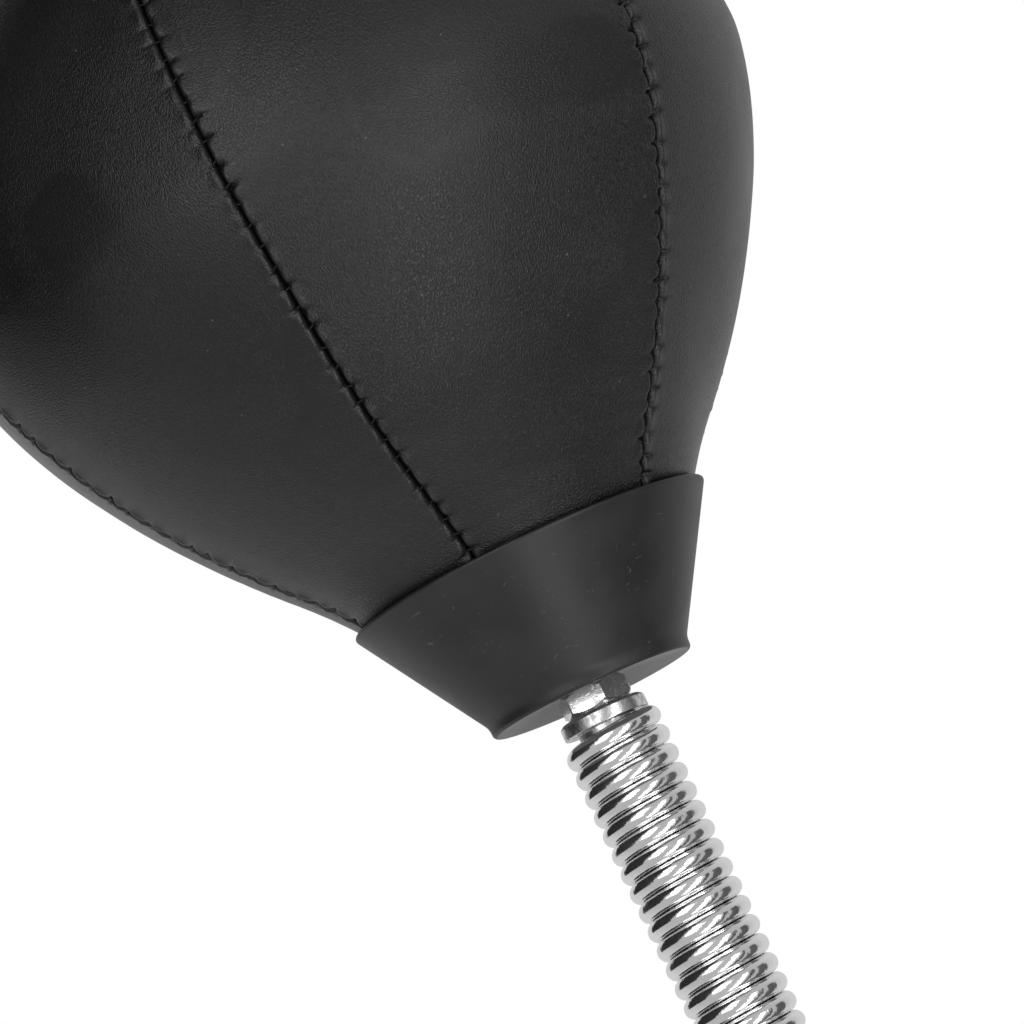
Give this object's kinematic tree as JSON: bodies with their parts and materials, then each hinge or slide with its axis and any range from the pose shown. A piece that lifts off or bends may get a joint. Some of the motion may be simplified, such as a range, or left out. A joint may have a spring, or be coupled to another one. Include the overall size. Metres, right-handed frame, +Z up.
{
  "type": "spring reflex bag",
  "caption": "Pear-shaped leather reflex ball in a flared rubber cup on a close-wound coil spring that bends any way, with a threaded stud below.",
  "frame": {"origin": "on the stud's axis, in the lower face of its hex collar", "axes": "+Z up along the spring towards the ball's crown; -Y towards the side seen from the front"},
  "size_m": [0.2086, 0.2086, 0.4379],
  "materials": {
    "leather": "satin, fine grain",
    "thread": "waxed cord",
    "cup_rubber": "matte, faintly scuffed",
    "bladder_rubber": "matte",
    "valve_rubber": "matte",
    "spring_chrome": "polished",
    "nut_zinc": "zinc plated, scratched",
    "plug_steel": "turned",
    "stud_steel": "zinc plated",
    "plate_steel": "plain"
  },
  "bodies": {
    "base": {"lower_stud": "stud_steel", "lower_plug": "plug_steel", "spring_coils_1": "spring_chrome"},
    "spring_link_1": {"spring_coils_2": "spring_chrome"},
    "spring_link_2": {"spring_coils_3": "spring_chrome"},
    "spring_link_3": {"spring_coils_4": "spring_chrome"},
    "spring_link_4": {"spring_coils_5": "spring_chrome"},
    "spring_link_5": {"spring_coils_6": "spring_chrome"},
    "spring_link_6": {"spring_coils_7": "spring_chrome"},
    "spring_link_7": {"spring_coils_8": "spring_chrome"},
    "head": {"spring_coils_9": "spring_chrome", "upper_plug": "plug_steel", "hex_nut": "nut_zinc", "cup": "cup_rubber", "ball_bolt": "stud_steel", "retaining_plate": "plate_steel", "panel_1": "leather", "panel_2": "leather", "panel_3": "leather", "panel_4": "leather", "panel_5": "leather", "panel_6": "leather", "seam_thread_1": "thread", "seam_thread_2": "thread", "seam_thread_3": "thread", "seam_thread_4": "thread", "seam_thread_5": "thread", "seam_thread_6": "thread", "crown_patch": "leather", "bladder": "bladder_rubber", "valve": "valve_rubber"}
  },
  "joints": [
    {"name": "spring_bend_x", "type": "hinge", "parent": "base", "child": "spring_link_1", "pos_m": [0, 0, 0.03502], "axis": [1, 0, 0], "range_deg": [-15, 15], "stiffness_Nm_per_rad": 14.2, "deforming": ["spring_coils_1"]},
    {"name": "spring_bend_y", "type": "hinge", "parent": "spring_link_1", "child": "spring_link_2", "pos_m": [0, 0, 0.05013], "axis": [0, 1, 0], "range_deg": [-15, 15], "stiffness_Nm_per_rad": 14.2, "deforming": ["spring_coils_2"]},
    {"name": "spring_bend_x_2", "type": "hinge", "parent": "spring_link_2", "child": "spring_link_3", "pos_m": [0, 0, 0.06523], "axis": [1, 0, 0], "range_deg": [-15, 15], "stiffness_Nm_per_rad": 14.2, "deforming": ["spring_coils_3"]},
    {"name": "spring_bend_y_2", "type": "hinge", "parent": "spring_link_3", "child": "spring_link_4", "pos_m": [0, 0, 0.08033], "axis": [0, 1, 0], "range_deg": [-15, 15], "stiffness_Nm_per_rad": 14.2, "deforming": ["spring_coils_4"]},
    {"name": "spring_bend_x_3", "type": "hinge", "parent": "spring_link_4", "child": "spring_link_5", "pos_m": [0, 0, 0.09544], "axis": [1, 0, 0], "range_deg": [-15, 15], "stiffness_Nm_per_rad": 14.2, "deforming": ["spring_coils_5"]},
    {"name": "spring_bend_y_3", "type": "hinge", "parent": "spring_link_5", "child": "spring_link_6", "pos_m": [0, 0, 0.11054], "axis": [0, 1, 0], "range_deg": [-15, 15], "stiffness_Nm_per_rad": 14.2, "deforming": ["spring_coils_6"]},
    {"name": "spring_bend_x_4", "type": "hinge", "parent": "spring_link_6", "child": "spring_link_7", "pos_m": [0, 0, 0.12564], "axis": [1, 0, 0], "range_deg": [-15, 15], "stiffness_Nm_per_rad": 14.2, "deforming": ["spring_coils_7"]},
    {"name": "spring_bend_y_4", "type": "hinge", "parent": "spring_link_7", "child": "head", "pos_m": [0, 0, 0.14074], "axis": [0, 1, 0], "range_deg": [-15, 15], "stiffness_Nm_per_rad": 14.2, "deforming": ["spring_coils_8", "spring_coils_9"]}
  ],
  "couplings": [
    {"joint": "spring_bend_x_2", "follows": "spring_bend_x", "ratio": 1},
    {"joint": "spring_bend_x_3", "follows": "spring_bend_x", "ratio": 1},
    {"joint": "spring_bend_x_4", "follows": "spring_bend_x", "ratio": 1},
    {"joint": "spring_bend_y_2", "follows": "spring_bend_y", "ratio": 1},
    {"joint": "spring_bend_y_3", "follows": "spring_bend_y", "ratio": 1},
    {"joint": "spring_bend_y_4", "follows": "spring_bend_y", "ratio": 1}
  ]
}
